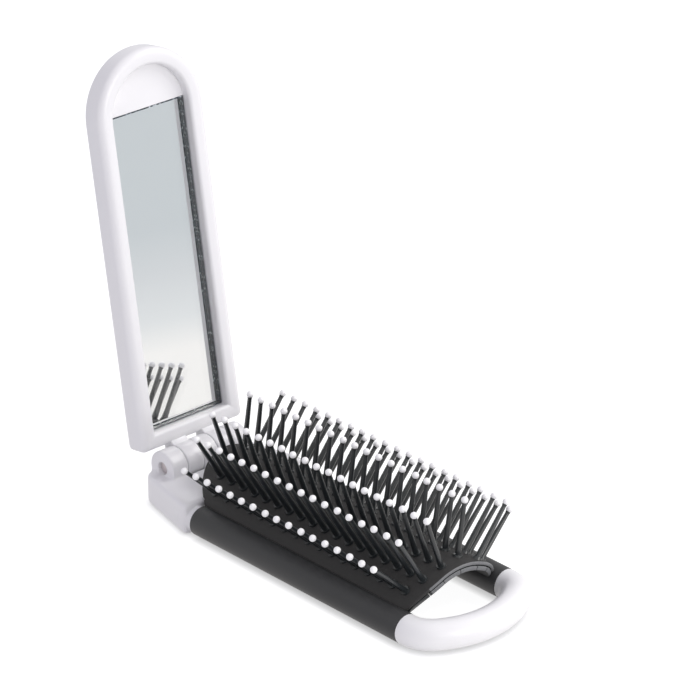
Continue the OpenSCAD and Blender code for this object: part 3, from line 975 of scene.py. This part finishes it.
def pin_tree(tree, given):
    root, tip = given["Root radius"], given["Tip radius"]

    def pin(tall):
        neck = tall - BEAD_R - CUP_H
        return joined(tree, [
            cone(tree, -FOOT_SUNK, RING_H, root * RING_LOW, root * RING_HIGH),
            cone(tree, -FOOT_SUNK, neck + CUP_LAP, root, tip),
            cone(tree, neck, tall - CUP_SUNK, tip, tip * CUP_FLARE)])

    rows = along_rows(tree, pin, given["Tilt"])
    return tree.node("GeometryNodeSetMaterial", {}, {"Geometry": rows, "Material": given["Material"]})


def bead_tree(tree, given):
    def bead(tall):
        ball = tree.node("GeometryNodeMeshUVSphere", {},
                         {"Segments": 18, "Rings": 12, "Radius": given["Bead radius"] * MM})
        return moved(tree, ball, tall)

    rows = along_rows(tree, bead, given["Tilt"])
    return tree.node("GeometryNodeSetMaterial", {}, {"Geometry": rows, "Material": given["Material"]})


TILT = math.radians(0.5)
pins = generated("bristle_pins", pin_tree, {
    "Root radius": PIN_ROOT_R, "Tip radius": PIN_TIP_R, "Tilt": TILT, "Material": nylon})
beads = generated("bristle_beads", bead_tree, {
    "Bead radius": BEAD_R, "Tilt": TILT, "Material": bead_white})
finish_piece(pins, None, "base", STRIPS, sharp=50)
finish_piece(beads, None, "base", TIPS, sharp=80)

# %% [markdown]
# ## The studio
#
# The brush stands on a plain white table in soft light. The table and the surroundings show as white to the
# camera and in the mirror, while the lamps stay mild enough for the white plastic to keep its shading.
#
# A Light Path node tells who is looking. To the camera the table glows, so that only faint real shadows are
# left, and the glow is dimmed where the brush closes it in, which paints the closest shadows. In the mirror
# it glows white nearby and greyer far off, a painted reflection of the studio round it.

# %% Table
TABLE_GLOW, CONTACT_SHADE_GLOW, SHADOW_REACH = 0.44, 0.5, 2 * MM
TABLE_HALF, TABLE_DROP = 3.0, 0.0002


def rays(tree):
    """The camera's share of the rays, straight or through glass, and the share of mirrored rays."""
    tree.node("ShaderNodeLightPath")
    camera_ray, glossy_ray, through_ray = tree.outputs(
        "Is Camera Ray", "Is Glossy Ray", "Is Transmission Ray")
    return larger(camera_ray, through_ray), glossy_ray


def table_finish():
    material, tree = new_finish("table_white")
    seen, glossy_ray = rays(tree)
    drift = noise(tree, 60.0, 2.0)
    shade = mix_colours(tree, drift, (0.86, 0.86, 0.86, 1), (0.88, 0.88, 0.88, 1))
    shade = mix_colours(tree, seen, shade, (0.24, 0.24, 0.25, 1))
    skin = tree.node("ShaderNodeBsdfPrincipled", {}, {"Base Color": shade, "Roughness": 0.9})
    # painted shadow: ambient occlusion dims the camera's glow close to the brush
    painted_shadow_openness = tree.node("ShaderNodeAmbientOcclusion", {"samples": 12}, {"Distance": SHADOW_REACH}, out=1)
    glow = seen * (TABLE_GLOW + CONTACT_SHADE_GLOW * painted_shadow_openness)
    glow = tree.node("ShaderNodeEmission", {}, {"Color": (1, 1, 1, 1), "Strength": glow})
    both = tree.node("ShaderNodeAddShader", {}, [skin, glow])
    where = tree.node("ShaderNodeTexCoord", out="Object")
    far_off = tree.node("ShaderNodeVectorMath", {"operation": "LENGTH"}, [where], out=1)
    # painted reflection: to mirror rays the table glows white nearby and greyer far off
    painted_reflection = tree.node("ShaderNodeValToRGB", {"stops": [
        (0.14, (0.972, 0.95, 0.935, 1)), (0.19, (0.797, 0.81, 0.823, 1)),
        (0.27, (0.70, 0.718, 0.74, 1)), (0.36, (0.622, 0.655, 0.68, 1))]}, {"Fac": far_off})
    painted_reflection = tree.node("ShaderNodeEmission", {}, {"Color": painted_reflection, "Strength": 1.0})
    both = tree.node("ShaderNodeMixShader", {}, [glossy_ray, both, painted_reflection])
    tree.node("ShaderNodeOutputMaterial", {}, {"Surface": both})
    return material


table_corners = [(x * TABLE_HALF, y * TABLE_HALF, 0) for x, y in ((-1, -1), (1, -1), (1, 1), (-1, 1))]
table = raw_piece("table", table_corners, [(0, 1, 2, 3)])
table.data.materials.append(table_finish())
table.location.z = cad_low.z - TABLE_DROP
print("table", 2 * TABLE_HALF, "m wide at", round(table.location.z, 4), "m")

# %% [markdown]
# Three disc lamps light the brush, and their light is slightly warm. The small one puts a glint on the
# beads and pins.

# %% Lamps
LAMP_COLOUR = (1.0, 0.985, 0.95)


def soft_lamp(name, place, target, size, power):
    data = bpy.data.lights.new(name, "AREA")
    data.shape, data.size, data.energy = "DISK", size, power
    data.color = LAMP_COLOUR
    lamp = bpy.data.objects.new(name, data)
    lamp.location = place
    lamp.rotation_euler = (Vector(target) - Vector(place)).to_track_quat("-Z", "Y").to_euler()
    bpy.context.scene.collection.objects.link(lamp)
    print("lamp", name, "of", power, "W")


soft_lamp("key", (0.95, -0.35, 0.95), (0, 0, 0.04), 0.6, 5.0)
soft_lamp("front", (0.1, -1.35, 0.45), (0, 0, 0.05), 0.8, 5.5)
soft_lamp("glint", (0.75, -0.75, 0.85), (0, 0, 0.03), 0.14, 1.6)

# %% [markdown]
# The room gives an even and slightly cool light. It looks white to the camera, and a little darker in the
# mirror.

# %% The room
ROOM_TINT, ROOM_LIGHT, ROOM_IN_MIRROR = (0.935, 0.915, 1.0, 1), 0.74, 0.8

world = bpy.data.worlds.new("studio")
bpy.context.scene.world = world
world.use_nodes = True
sky = Tree(world.node_tree)
seen, glossy_ray = rays(sky)
seen = larger(seen, glossy_ray * ROOM_IN_MIRROR)
shade = mix_colours(sky, seen.maths("GREATER_THAN", seen, 0.5), ROOM_TINT, (1, 1, 1, 1))
back = sky.node("ShaderNodeBackground", {}, {"Color": shade, "Strength": larger(seen, ROOM_LIGHT)})
sky.node("ShaderNodeOutputWorld", {}, {"Surface": back})
bpy.context.scene.view_settings.view_transform = "Standard"
print("room light", ROOM_LIGHT, "and", ROOM_IN_MIRROR, "in the mirror")

# %% [markdown]
# ## The box of the solids
#
# The box of the solids is printed. The visual pieces have to keep to the box of the solids within a
# fraction of a millimetre.

# %% Print the box of the solids
print("cad", [round(v, 4) for v in (*cad_low, *cad_high)])
